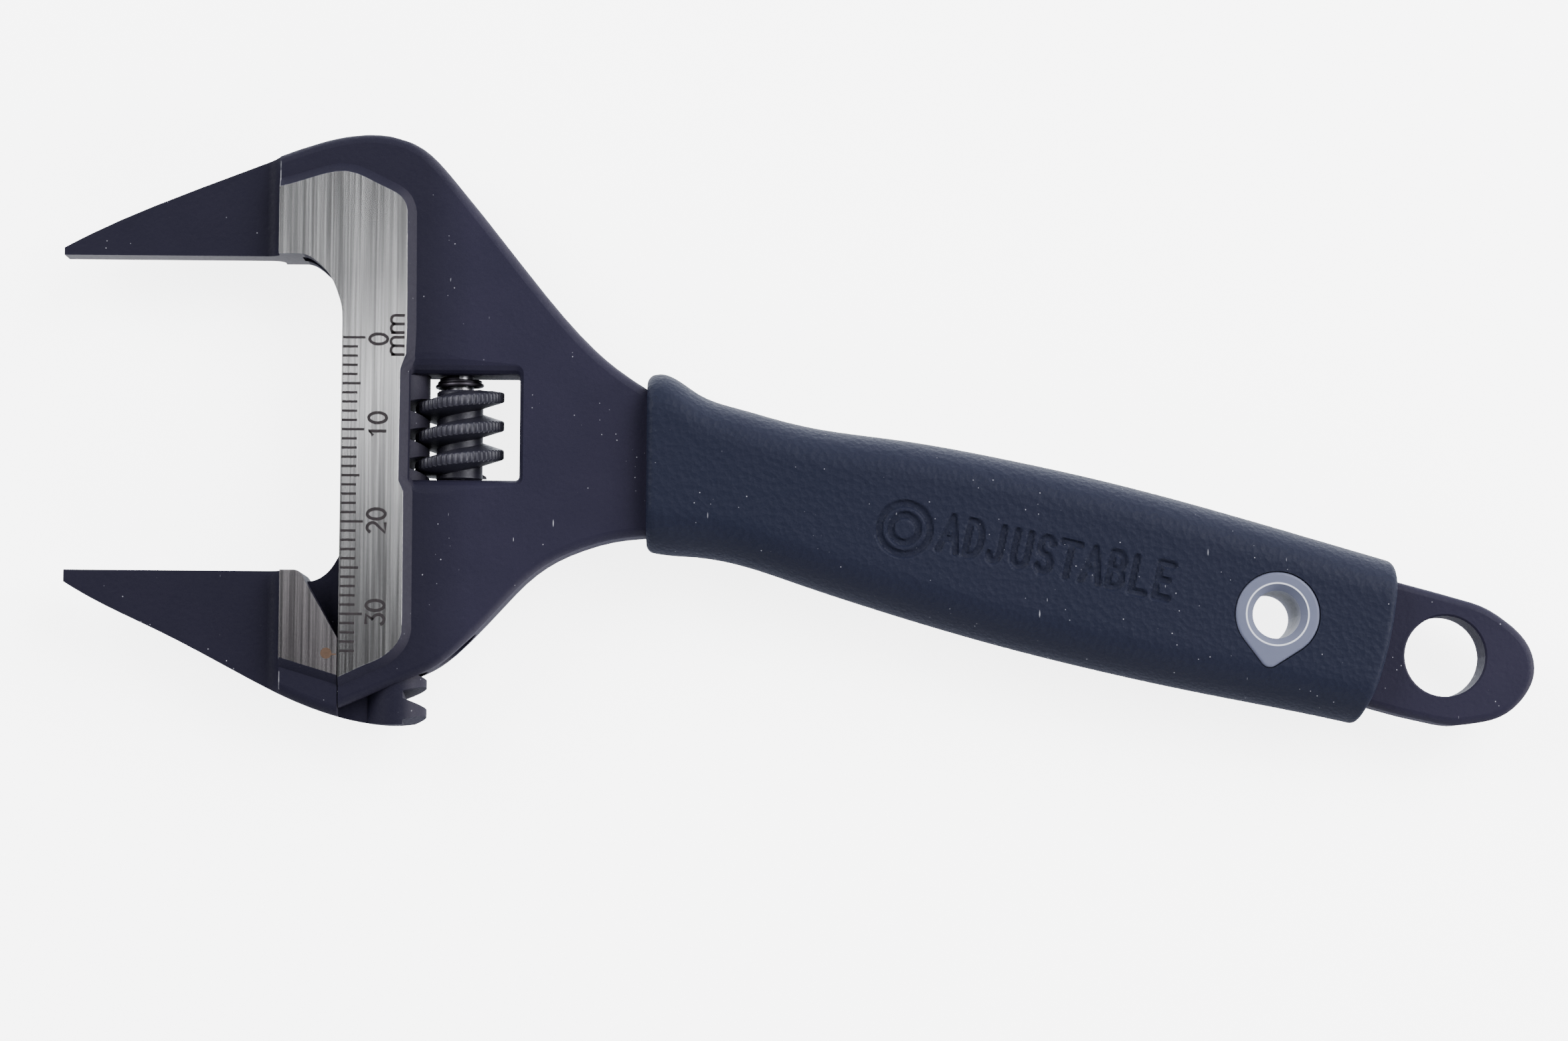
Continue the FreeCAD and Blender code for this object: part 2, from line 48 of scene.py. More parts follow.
# ---- worm --------------------------------------------------------------------------------
PITCH = math.pi
WORM_X = 12.6
WORM_RADIUS = 4.84
CORE_RADIUS = 2.54
BORE_RADIUS = 1.57
CORE_CHAMFER = 0.2
WORM_TOP_Y = -14.5
WORM_BOTTOM_Y = -24.3
THREAD_BOTTOM_Y = -23.75
THREAD_FIRST_TURN = -2.6    # ends of the thread, in turns from the front of the tool
THREAD_LAST_TURN = 0.55
THREAD_SINK = 0.12          # foot of the thread below the surface of the core
CREST_WIDTH = 1.05
FLANK_ANGLE = 17.0
CREST_RIGHT_Y = -15.11      # height of the uppermost crest on the handle side
KNURL_GROOVES = 48
KNURL_DEPTH = 0.17
STEPS_PER_GROOVE = 6
PIN_TOP_Y = -10.4

# ---- grip --------------------------------------------------------------------------------
GRIP_HALF = 6.25
SIDE_ROUND = 4.8            # width of the rounded side of the grip, seen from the front
SIDE_POWER = 2.3
GRIP_START_X = 33.1
GRIP_STATIONS = [(GRIP_START_X, -12.75, -31.85), (34.7, -12.45, -32.15), (38.5, -14.5, -32.45),
                 (43.0, -16.15, -33.2), (49.4, -17.85, -35.2), (60.4, -19.45, -38.7),
                 (71.3, -21.3, -41.8), (82.2, -23.6, -44.45), (93.1, -26.35, -46.75),
                 (104.0, -29.4, -48.8), (118.0, -33.4, -51.75)]
GRIP_EDGE = 0.75            # rounding of both ends of the grip
END_ARC = ((114.45, -28.0), (113.65, -40.6), (109.35, -52.5))
END_REACH_X = 115.0         # just beyond the slanted end
LAST_ROW_X = 113.0
WORD_FROM_X = 57.0          # the rows lie closer together under the pressed word
WORD_TO_X = 93.0
WORD_ROW_STEP = 0.16
PLAIN_ROW_STEP = 0.30
END_ROWS = 9                # around each rounded end
FLAT_POINTS = 64            # across each flat of the grip
TURN_POINTS = 56            # around each rounded side
GRAIN_DEPTH = 0.045

WORD = "ADJUSTABLE"
WORD_START = (64.6, -31.7)
WORD_LEAN = -12.0
LETTER_PITCH = 2.62
LETTER_WIDTH = 1.95
LETTER_HEIGHT = 3.7
NUT_CENTRE = (61.0, -29.6)
NUT_RADII = (2.75, 1.5)
STROKE_DEPTH = 0.34
STROKE_HALF = 0.47          # half width of a pressed stroke, at its lips
STROKE_WALL = 0.22          # width of the wall inside the lips
STROKE_MARGIN = 0.8         # reach of a stroke, when looking for points near it

# ---- eyelet ------------------------------------------------------------------------------
EYELET_X = 101.35
EYELET_Y = -38.5
EYELET_OUTER = 4.6
EYELET_TIP_RADIUS = 1.1
EYELET_TIP_REACH = 4.75
EYELET_TIP_ANGLE = -100.0
EYELET_FLANGE = 1.6
EYELET_BARREL = 3.6
EYELET_MOUTH = 3.3
EYELET_HIGHLIGHT_OFFSET = 0.06           # the painted highlight ring lies this far outside the mouth
SEAM = 0.05                 # between the grip and the eyelet

# ---- scale and index mark ------------------------------------------------------------------
MARK_SINK = 0.02
MARK_RISE = 0.015
TICK_COUNT = 35
TICK_FIRST_Y = -9.12
TICK_PITCH = 1.0005
TICK_START_X = 0.12
TICK_WIDTH = 0.27
DIGIT_X = 4.95              # foot of the digits; their top points to the jaws
DIGIT_WIDTH = 1.32
DIGIT_HEIGHT = 1.95
DIGIT_GAP = 0.16
DIGIT_STROKE = 0.34
NUMBERS = (("0", -9.95), ("10", -20.0), ("20", -30.45), ("30", -40.35))
UNIT_PLACE = (6.78, -11.05)
UNIT_WIDTH = 2.05
UNIT_HEIGHT = 1.5
UNIT_GAP = 0.34
UNIT_STROKE = 0.31
INDEX_DOT = (-1.25, -43.4)
INDEX_RADIUS = 0.6
INDEX_LINE = ((-0.66, -43.52), (-0.14, -43.52))
INDEX_STROKE = 0.16

# ---- camera, in metres ---------------------------------------------------------------------
CAMERA_PLACE = (-0.00812, -0.04439, 0.48093)
CAMERA_TARGET = (-0.00152, -0.00948, 0.00626)
CAMERA_RIGHT = (0.99986, 0.00785, 0.0)

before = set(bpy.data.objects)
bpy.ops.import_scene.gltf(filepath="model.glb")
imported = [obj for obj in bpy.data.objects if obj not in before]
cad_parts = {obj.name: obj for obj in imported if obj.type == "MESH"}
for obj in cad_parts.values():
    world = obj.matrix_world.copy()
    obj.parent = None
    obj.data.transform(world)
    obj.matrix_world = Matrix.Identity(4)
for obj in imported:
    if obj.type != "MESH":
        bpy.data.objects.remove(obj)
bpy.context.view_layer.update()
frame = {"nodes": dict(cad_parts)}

pin_low, pin_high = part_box("worm_pin")
ORIGIN = Vector(((pin_low.x + pin_high.x) / 2 - WORM_X / 1000, pin_high.y - PIN_TOP_Y / 1000,
                 (pin_low.z + pin_high.z) / 2))


def place(x, y, z=0.0):
    """A point of the drawing frame, in millimetres, as a point of the scene, in metres."""
    return ORIGIN + Vector((x, y, z)) / 1000


def new_mesh(name, points, faces, smooth=True):
    mesh = bpy.data.meshes.new(name)
    mesh.from_pydata([place(*p) for p in points], [], faces)
    mesh.validate()
    mesh.polygons.foreach_set("use_smooth", [smooth] * len(mesh.polygons))
    mesh.update()
    obj = bpy.data.objects.new(name, mesh)
    bpy.context.scene.collection.objects.link(obj)
    return obj


def arc(cx, cy, rx, ry, start, stop, steps=16):
    angles = [math.radians(start + (stop - start) * k / steps) for k in range(steps + 1)]
    return [(cx + rx * math.cos(a), cy + ry * math.sin(a)) for a in angles]


# ---- materials -------------------------------------------------------------------------

COAT_DARK = (0.0090, 0.0085, 0.0180)
COAT_LIGHT = (0.0136, 0.0122, 0.0240)
COAT_VALLEY_SHADE = (0.003, 0.003, 0.006)
COAT_EDGE_HIGHLIGHT = (0.22, 0.22, 0.24)
COAT_RIGHT_LIT = (0.030, 0.027, 0.036)
DUST = (0.30, 0.30, 0.34)
FACE_DARK = (0.05, 0.05, 0.055)
FACE_LIGHT = (0.09, 0.09, 0.10)
BLACK = (0.0, 0.0, 0.0)

# Grinding streaks: lean in degrees, scale across and along them, and share of the pattern.
STREAKS = ((0.5, 4600, 50, 0.5), (3.0, 3800, 80, 0.3), (-4.0, 3500, 70, 0.2))


def map_range(tree, value, low, high, to_low, to_high):
    node = tree.nodes.new("ShaderNodeMapRange")
    tree.links.new(value, node.inputs["Value"])
    node.inputs["From Min"].default_value = low
    node.inputs["From Max"].default_value = high
    node.inputs["To Min"].default_value = to_low
    node.inputs["To Max"].default_value = to_high
    return node.outputs[0]


class Nodes:
    """A material's node tree with short calls for the nodes used here."""

    def __init__(self, name):
        self.material = bpy.data.materials.new(name)
        self.material.use_nodes = True
        self.tree = self.material.node_tree
        self.tree.nodes.clear()
        self.output = self.tree.nodes.new("ShaderNodeOutputMaterial")
        coordinates = self.tree.nodes.new("ShaderNodeTexCoord")
        self.point = coordinates.outputs["Object"]
        self.facing = coordinates.outputs["Normal"]

    def join(self, source, target):
        self.tree.links.new(source, target)

    def set(self, node, socket, value):
        if isinstance(value, bpy.types.NodeSocket):
            self.join(value, node.inputs[socket])
        else:
            node.inputs[socket].default_value = value

    def math(self, operation, a, b=0.0):
        node = self.tree.nodes.new("ShaderNodeMath")
        node.operation = operation
        self.set(node, 0, a)
        self.set(node, 1, b)
        return node.outputs[0]

    def scaled(self, x, y, z):
        node = self.tree.nodes.new("ShaderNodeVectorMath")
        node.operation = "MULTIPLY"
        self.join(self.point, node.inputs[0])
        node.inputs[1].default_value = (x, y, z)
        return node.outputs[0]

    def split(self, vector):
        node = self.tree.nodes.new("ShaderNodeSeparateXYZ")
        self.join(vector, node.inputs[0])
        return node.outputs

    def turned(self, angle, x, y, z):
        """Object coordinates turned about Z and stretched, for streaks in one direction."""
        node = self.tree.nodes.new("ShaderNodeMapping")
        self.join(self.point, node.inputs["Vector"])
        node.inputs["Rotation"].default_value = (0, 0, math.radians(angle))
        node.inputs["Scale"].default_value = (x, y, z)
        return node.outputs[0]

    def noise(self, vector, scale, detail=3.0, rough=0.5):
        node = self.tree.nodes.new("ShaderNodeTexNoise")
        self.join(vector, node.inputs["Vector"])
        node.inputs["Scale"].default_value = scale
        node.inputs["Detail"].default_value = detail
        node.inputs["Roughness"].default_value = rough
        return node.outputs["Fac"]

    def voronoi(self, vector, scale):
        node = self.tree.nodes.new("ShaderNodeTexVoronoi")
        self.join(vector, node.inputs["Vector"])
        node.inputs["Scale"].default_value = scale
        return node.outputs["Distance"]

    def ramp(self, value, low, high, to_low=0.0, to_high=1.0):
        return map_range(self.tree, value, low, high, to_low, to_high)

    def mix(self, factor, a, b):
        node = self.tree.nodes.new("ShaderNodeMix")
        node.data_type = "RGBA"
        self.set(node, 0, factor)
        for index, colour in ((6, a), (7, b)):
            value = colour if isinstance(colour, bpy.types.NodeSocket) else (*colour, 1.0)
            self.set(node, index, value)
        return node.outputs[2]

    def bump(self, height, strength, distance):
        node = self.tree.nodes.new("ShaderNodeBump")
        node.inputs["Strength"].default_value = strength
        node.inputs["Distance"].default_value = distance
        self.join(height, node.inputs["Height"])
        return node.outputs[0]

    def shader(self, colour, metallic, roughness, normal=None, specular=0.5):
        node = self.tree.nodes.new("ShaderNodeBsdfPrincipled")
        node.inputs["Specular IOR Level"].default_value = specular
        value = colour if isinstance(colour, bpy.types.NodeSocket) else (*colour, 1.0)
        self.set(node, "Base Color", value)
        self.set(node, "Metallic", metallic)
        self.set(node, "Roughness", roughness)
        if normal is not None:
            self.join(normal, node.inputs["Normal"])
        return node.outputs[0]

    def blend(self, factor, a, b):
        node = self.tree.nodes.new("ShaderNodeMixShader")
        self.set(node, 0, factor)
        self.join(a, node.inputs[1])
        self.join(b, node.inputs[2])
        return node.outputs[0]

    def finish(self, shader):
        self.join(shader, self.output.inputs["Surface"])
        return self.material


def near_plane(nodes, values, plane_mm, axis, tolerance=0.05):
    """1 where the coordinate lies within the tolerance of a plane of the drawing frame."""
    target = ORIGIN[axis] + plane_mm / 1000
    distance = nodes.math("ABSOLUTE", nodes.math("SUBTRACT", values[axis], target))
    return nodes.math("LESS_THAN", distance, tolerance / 1000)


def specks(nodes, colour, amount):
    """Sparse pale dust and short hair scratches on a dark surface."""
    dots = nodes.ramp(nodes.voronoi(nodes.point, 1100.0), 0.085, 0.04)
    patches = nodes.ramp(nodes.noise(nodes.point, 260.0, 1.0), 0.56, 0.60)
    shown = nodes.math("MULTIPLY", dots, patches)
    for angle, fineness in ((12.0, 1.0), (-38.0, 1.7)):
        hairs = nodes.voronoi(nodes.turned(angle, 700 * fineness, 120 * fineness, 300), 1.0)
        pick = nodes.noise(nodes.point, 170.0 * fineness, 1.0)
        line = nodes.math("MULTIPLY", nodes.ramp(hairs, 0.055, 0.02), nodes.ramp(pick, 0.59, 0.62))
        shown = nodes.math("MAXIMUM", shown, line)
    return nodes.mix(nodes.math("MULTIPLY", shown, amount), colour, DUST)


def brushed(nodes, dark, light):
    """Bare steel with grinding streaks along Y, with a painted highlight beside the worm that fades
    to painted shade above it and towards the foot.
    """
    streak = 0.0
    for lean, across, along, share in STREAKS:
        lines = nodes.noise(nodes.turned(lean, across, along, 400), 1.0, 0.6)
        streak = nodes.math("ADD", nodes.math("MULTIPLY", lines, share), streak)
    # painted highlight and shade: the pad colour is brightest beside the worm and is darkened
    # towards black above it and towards the foot
    north = nodes.math("SUBTRACT", nodes.split(nodes.point)[1], ORIGIN.y)
    away = nodes.math("ABSOLUTE", nodes.math("SUBTRACT", north, HIGHLIGHT_CENTRE_Y / 1000))
    beside = nodes.ramp(away, HIGHLIGHT_NEAR / 1000, HIGHLIGHT_FAR / 1000, 1.0, 0.60)
    foot = nodes.ramp(north, FOOT_SHADE_Y / 1000, FOOT_SHADE_END_Y / 1000, 0.70, 1.0)
    tone = nodes.mix(nodes.ramp(streak, 0.37, 0.63), dark, light)
    tone = nodes.mix(nodes.math("MULTIPLY", beside, foot), BLACK, tone)
    rough = nodes.ramp(streak, 0.3, 0.7, 0.22, 0.26)
    return nodes.shader(tone, 1.0, rough, nodes.bump(streak, 0.03, 0.00004))


def forged_coat(n, place_at, depth, facing, shoulder):
    """Blue-black coat, with painted shade beside the pads and a painted highlight along the shoulder
    edge.
    """
    grain = n.noise(n.point, 2400.0, 4.0, 0.6)
    cloud = n.noise(n.point, 140.0, 3.0)
    pits = n.ramp(n.voronoi(n.point, 900.0), 0.0, 0.35)
    tone = n.mix(cloud, COAT_DARK, COAT_LIGHT)
    # painted shade: the coat darkens beside the pads, where the valley at the foot of the pad slopes
    # lies in shade
    plain = n.ramp(place_at[0], ORIGIN.x + SHADE_UP_TO_X / 1000, ORIGIN.x + SHADE_GONE_FROM_X / 1000)
    deep = n.math("MULTIPLY", n.math("SUBTRACT", 1.0, plain), 0.45)
    tone = n.mix(deep, tone, COAT_VALLEY_SHADE)
    # painted highlight: a broken pale line along the top of the milled shoulder
    outer = n.math("GREATER_THAN", depth, SHOULDER_HIGHLIGHT_FROM_HALF / 1000)
    shoulder_line = n.math("MULTIPLY", near_plane(n, place_at, shoulder, 0, SHOULDER_HIGHLIGHT_WIDTH), outer)
    shoulder_highlight = n.math("MULTIPLY", shoulder_line, n.ramp(n.noise(n.point, 900.0, 2.0), 0.38, 0.62))
    tone = n.mix(n.math("MULTIPLY", shoulder_highlight, 0.8), specks(n, tone, 0.8), COAT_EDGE_HIGHLIGHT)
    # painted light: faces turned towards +X are lightened, as if lit from the right
    slope = n.ramp(facing[0], 0.25, 0.55)
    tone = n.mix(n.math("MULTIPLY", slope, 0.38), tone, COAT_RIGHT_LIT)
    height = n.math("ADD", n.math("MULTIPLY", grain, 0.55), n.math("MULTIPLY", pits, 0.25))
    height = n.math("ADD", height, n.math("MULTIPLY", cloud, 0.5))
    rough = n.ramp(grain, 0.3, 0.7, 0.44, 0.60)
    return n.shader(tone, 0.0, rough, n.bump(height, 0.5, 0.00012), 0.07)


def forged_material(name, face_plane, shoulder, steel):
    """Coated forging, ground bare on the pads, with a dull gripping face."""
    n = Nodes(name)
    place_at = n.split(n.point)
    facing = n.split(n.facing)
    depth = n.math("ABSOLUTE", n.math("SUBTRACT", place_at[2], ORIGIN.z))
    coat = forged_coat(n, place_at, depth, facing, shoulder)
    pad = n.math("GREATER_THAN", depth, (PAD_HALF - 0.012) / 1000)
    bare = brushed(n, *steel)
    upright = n.math("GREATER_THAN", n.math("ABSOLUTE", facing[1]), 0.95)
    side = n.math("MULTIPLY", near_plane(n, place_at, face_plane, 1), upright)
    grain = n.noise(n.point, 2400.0, 4.0, 0.6)
    dull = n.shader(n.mix(grain, FACE_DARK, FACE_LIGHT), 0.0, 0.9, specular=0.0)
    return n.finish(n.blend(side, n.blend(pad, coat, bare), dull))


def worm_material():
    """Black oxide on steel."""
    n = Nodes("worm_black_oxide")
    grain = n.noise(n.point, 3000.0, 3.0)
    cloud = n.noise(n.point, 500.0, 2.0)
    tone = n.mix(cloud, (0.008, 0.008, 0.014), (0.018, 0.017, 0.026))
    rough = n.ramp(grain, 0.3, 0.7, 0.36, 0.50)
    return n.finish(n.shader(tone, 0.2, rough, n.bump(grain, 0.3, 0.00005), 0.3))


def steel_material(name, dark, light, roughness):
    """Turned or drawn steel with fine rings along Y."""
    n = Nodes(name)
    lathe = n.noise(n.scaled(300, 9000, 300), 1.0, 2.0)
    tone = n.mix(lathe, dark, light)
    rough = n.ramp(lathe, 0.3, 0.7, roughness - 0.06, roughness + 0.08)
    return n.finish(n.shader(tone, 1.0, rough, n.bump(lathe, 0.2, 0.00003)))


def grip_material():
    """Dark moulded rubber with a leather grain."""
    n = Nodes("grip_leather_grain")
    cells = n.voronoi(n.point, 1500.0)
    fine = n.noise(n.point, 3600.0, 3.0)
    cloud = n.noise(n.point, 70.0, 2.0)
    height = n.math("ADD", n.math("MULTIPLY", cells, 0.8), n.math("MULTIPLY", fine, 0.5))
    tone = n.mix(cloud, (0.0072, 0.0088, 0.0178), (0.0090, 0.0100, 0.0195))
    rough = n.ramp(fine, 0.3, 0.7, 0.42, 0.58)
    return n.finish(n.shader(specks(n, tone, 0.75), 0.0, rough, n.bump(height, 0.6, 0.00014), 0.06))


def eyelet_material():
    """Smooth plastic, with a painted highlight ring where the mouth of the hole turns over and
    painted light inside the mouth.
    """
    n = Nodes("eyelet_blue_grey")
    cloud = n.noise(n.point, 240.0, 3.0)
    fine = n.noise(n.point, 2500.0, 2.0)
    at = n.split(n.point)
    east = n.math("SUBTRACT", at[0], ORIGIN.x + EYELET_X / 1000)
    north = n.math("SUBTRACT", at[1], ORIGIN.y + EYELET_Y / 1000)
    square = n.math("ADD", n.math("MULTIPLY", east, east), n.math("MULTIPLY", north, north))
    reach = n.math("SQRT", square)
    # painted highlight: a bright thin ring just outside the mouth of the hole
    edge = n.math("ABSOLUTE", n.math("SUBTRACT", reach, (EYELET_MOUTH + EYELET_HIGHLIGHT_OFFSET) / 1000))
    ring = n.ramp(edge, 0.00012, 0.00005)
    tone = n.mix(cloud, (0.073, 0.080, 0.121), (0.085, 0.092, 0.137))
    # painted light: the mouth and bore of the hole are lightened
    inside = n.ramp(reach, 0.00325, 0.00318)
    tone = n.mix(n.math("MULTIPLY", inside, 0.6), tone, (0.12, 0.13, 0.18))
    tone = n.mix(n.math("MULTIPLY", ring, 0.7), tone, (0.62, 0.64, 0.70))
    rough = n.ramp(fine, 0.3, 0.7, 0.34, 0.46)
    return n.finish(n.shader(tone, 0.0, rough, n.bump(fine, 0.12, 0.00003), 0.15))


def mark_material(name, dark, light):
    """Matt laser marking."""
    n = Nodes(name)
    fine = n.noise(n.point, 5200.0, 2.0)
    rough = n.ramp(fine, 0.3, 0.7, 0.6, 0.8)
    return n.finish(n.shader(n.mix(fine, dark, light), 0.0, rough, specular=0.05))


def dress(obj, material):
    obj.data.materials.clear()
    obj.data.materials.append(material)


# ---- worm ------------------------------------------------------------------------------

def worm_thread():
    """Helical thread with an axially knurled crest, trimmed by the worm's end faces."""
    first = 2 * math.pi * THREAD_FIRST_TURN
    last = 2 * math.pi * THREAD_LAST_TURN
    steps = int(round((last - first) / (2 * math.pi) * KNURL_GROOVES * STEPS_PER_GROOVE))
    level = CREST_RIGHT_Y - PITCH / 4
    slope = math.tan(math.radians(FLANK_ANGLE))
    half = CREST_WIDTH / 2
    radii = [CORE_RADIUS - THREAD_SINK, 3.2, 3.9, 4.45, WORM_RADIUS - 0.2]
    flank = [(r, half + slope * (WORM_RADIUS - r)) for r in radii]
    flank += [(WORM_RADIUS - 0.06, half - 0.03), (WORM_RADIUS, half - 0.16)]
    section = [(r, -y) for r, y in flank] + [(WORM_RADIUS, 0.0)] + flank[::-1]
    points = []
    faces = []
    for step in range(steps + 1):
        angle = first + (last - first) * step / steps
        groove = 0.5 + 0.5 * math.cos(angle * KNURL_GROOVES)
        centre = level + PITCH * angle / (2 * math.pi)
        for radius, offset in section:
            cut = KNURL_DEPTH * groove ** 1.5 if radius > WORM_RADIUS - 0.1 else 0.0
            y = min(max(centre + offset, THREAD_BOTTOM_Y), WORM_TOP_Y)
            r = radius - cut
            points.append((WORM_X + r * math.sin(angle), y, r * math.cos(angle)))
    count = len(section)
    for step in range(steps):
        a = step * count
        b = a + count
        for k in range(count):
            j = (k + 1) % count
            faces.append((a + k, a + j, b + j, b + k))
    faces.append(tuple(range(count))[::-1])
    faces.append(tuple(steps * count + k for k in range(count)))
    return points, faces


def revolve(profile, segments):
    """Closed ring about the worm axis from a closed (radius, y) profile."""
    points = []
    faces = []
    for step in range(segments):
        angle = 2 * math.pi * step / segments
        for radius, y in profile:
            points.append((WORM_X + radius * math.sin(angle), y, radius * math.cos(angle)))
    count = len(profile)
    for step in range(segments):
        a = step * count
        b = (step + 1) % segments * count
        for k in range(count):
            j = (k + 1) % count
            faces.append((a + k, a + j, b + j, b + k))
    return points, faces


def merged(parts):
    """One list of points and one of faces, from several (points, faces) pairs."""
    points = []
    faces = []
    for new_points, new_faces in parts:
        base = len(points)
        points += new_points
        faces += [tuple(base + i for i in face) for face in new_faces]
    return points, faces


def build_worm():
    rim = CORE_RADIUS - CORE_CHAMFER
    core = revolve([(BORE_RADIUS, WORM_BOTTOM_Y), (rim, WORM_BOTTOM_Y),
                    (CORE_RADIUS, WORM_BOTTOM_Y + CORE_CHAMFER),
                    (CORE_RADIUS, WORM_TOP_Y - CORE_CHAMFER),
                    (rim, WORM_TOP_Y), (BORE_RADIUS, WORM_TOP_Y)], 72)
    obj = new_mesh("adjusting_worm_knurled", *merged([worm_thread(), core]))
    set_sharp(obj, 35.0)
    dress(obj, worm_material())
    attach(obj, "worm")
    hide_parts("adjusting_worm")


def set_sharp(obj, degrees):
    """Keep edges sharper than the given angle crisp under smooth shading."""
    obj.data.set_sharp_from_angle(angle=math.radians(degrees))


# ---- grip ------------------------------------------------------------------------------

def curve_through(values):
    """Natural cubic spline through (x, value) pairs, as a function of an array of x."""
    xs = np.array([v[0] for v in values], float)
    ys = np.array([v[1] for v in values], float)
    gaps = np.diff(xs)
    count = len(xs)
    system = np.eye(count)
    right = np.zeros(count)
    for i in range(1, count - 1):
        system[i, i - 1] = gaps[i - 1]
        system[i, i] = 2 * (gaps[i - 1] + gaps[i])
        system[i, i + 1] = gaps[i]
        right[i] = 6 * ((ys[i + 1] - ys[i]) / gaps[i] - (ys[i] - ys[i - 1]) / gaps[i - 1])
    bends = np.linalg.solve(system, right)

    def value(x):
        i = np.clip(np.searchsorted(xs, x) - 1, 0, count - 2)
        gap = gaps[i]
        a = xs[i + 1] - x
        b = x - xs[i]
        bend = (bends[i] * a ** 3 + bends[i + 1] * b ** 3) / (6 * gap)
        left = (ys[i] / gap - bends[i] * gap / 6) * a
        right = (ys[i + 1] / gap - bends[i + 1] * gap / 6) * b
        return bend + left + right

    return value


grip_high = curve_through([(x, high) for x, high, _ in GRIP_STATIONS])
grip_low = curve_through([(x, low) for x, _, low in GRIP_STATIONS])


def spaced(start, stop, step):
    """Even places from the start up to, and without, the stop."""
    count = max(2, int(round((stop - start) / step)) + 1)
    return np.linspace(start, stop, count)[:-1]


def circle_through(a, b, c):
    """Centre and radius of the circle through three points."""
    system = np.array([[2 * (b[0] - a[0]), 2 * (b[1] - a[1])],
                       [2 * (c[0] - a[0]), 2 * (c[1] - a[1])]])
    right = np.array([b[0] ** 2 + b[1] ** 2 - a[0] ** 2 - a[1] ** 2,
                      c[0] ** 2 + c[1] ** 2 - a[0] ** 2 - a[1] ** 2])
    centre = np.linalg.solve(system, right)
    return centre, math.hypot(a[0] - centre[0], a[1] - centre[1])


END_CENTRE, END_RADIUS = circle_through(*END_ARC)


def grip_end_x(y):
    """The slanted, slightly bowed end of the grip."""
    return END_CENTRE[0] + np.sqrt(END_RADIUS ** 2 - (y - END_CENTRE[1]) ** 2)


def grip_ring():
    """Ring parameters: share of the flat's width, reach into a rounded side, and height."""
    flat = np.linspace(0.0, 1.0, FLAT_POINTS)
    turn = np.linspace(0.0, 1.0, TURN_POINTS + 2)[1:-1]
    angle = math.pi * (0.5 - turn)
    out = np.abs(np.cos(angle)) ** (2 / SIDE_POWER)
    rise = np.sign(np.sin(angle)) * np.abs(np.sin(angle)) ** (2 / SIDE_POWER)
    across = np.concatenate([flat, np.ones(len(turn)), flat[::-1], np.zeros(len(turn))])
    reach = np.concatenate([0 * flat, out, 0 * flat, -out])
    level = np.concatenate([0 * flat + 1, rise, 0 * flat - 1, -rise])
    return across, reach, level


def grip_points(x, across, reach, level, inset):
    """Y and Z of the ring points at the given X, stepped in square to the surface."""
    high = grip_high(x)
    low = grip_low(x)
    y = low + SIDE_ROUND + across * (high - low - 2 * SIDE_ROUND) + reach * SIDE_ROUND
    z = level * GRIP_HALF
    along_y = np.roll(y, -1, axis=-1) - np.roll(y, 1, axis=-1)
    along_z = np.roll(z, -1, axis=-1) - np.roll(z, 1, axis=-1)
    size = np.hypot(along_y, along_z) + 1e-9
    return y + inset * along_z / size, z - inset * along_y / size


def edge_inset(distance):
    """How far the surface steps in at a distance from a rounded end."""
    left = np.clip(GRIP_EDGE - distance, 0.0, GRIP_EDGE)
    return GRIP_EDGE - np.sqrt(GRIP_EDGE ** 2 - left ** 2)


def grip_surface():
    """Rows of ring points from the collar to the slanted end."""
    across, reach, level = grip_ring()
    turn = 1 - np.cos(np.linspace(0.0, math.pi / 2, END_ROWS))
    start = GRIP_START_X + GRIP_EDGE * turn[:-1]
    body = np.concatenate([spaced(GRIP_START_X + GRIP_EDGE, WORD_FROM_X, PLAIN_ROW_STEP),
                           spaced(WORD_FROM_X, WORD_TO_X, WORD_ROW_STEP),
                           spaced(WORD_TO_X, LAST_ROW_X, PLAIN_ROW_STEP)])
    ends = GRIP_EDGE * turn[::-1]
    rows = []
    middle = (GRIP_START_X + END_REACH_X) / 2
    for x in np.concatenate([start, body]):
        inset = edge_inset(np.array(x - GRIP_START_X))
        xs = np.full(len(across), x)
        y, z = grip_points(xs, across, reach, level, inset)
        limit = grip_end_x(y) - GRIP_EDGE
        if x > middle:
            share = (x - middle) / (LAST_ROW_X - middle)
            xs = middle + share * (limit - middle)
            y, z = grip_points(xs, across, reach, level, inset)
        rows.append(np.stack([xs, y, z], axis=1))
    y = rows[-1][:, 1]
    for distance in ends:
        xs = grip_end_x(y) - distance
        y_now, z_now = grip_points(xs, across, reach, level, edge_inset(np.array(distance)))
        rows.append(np.stack([xs, y_now, z_now], axis=1))
    return np.array(rows)


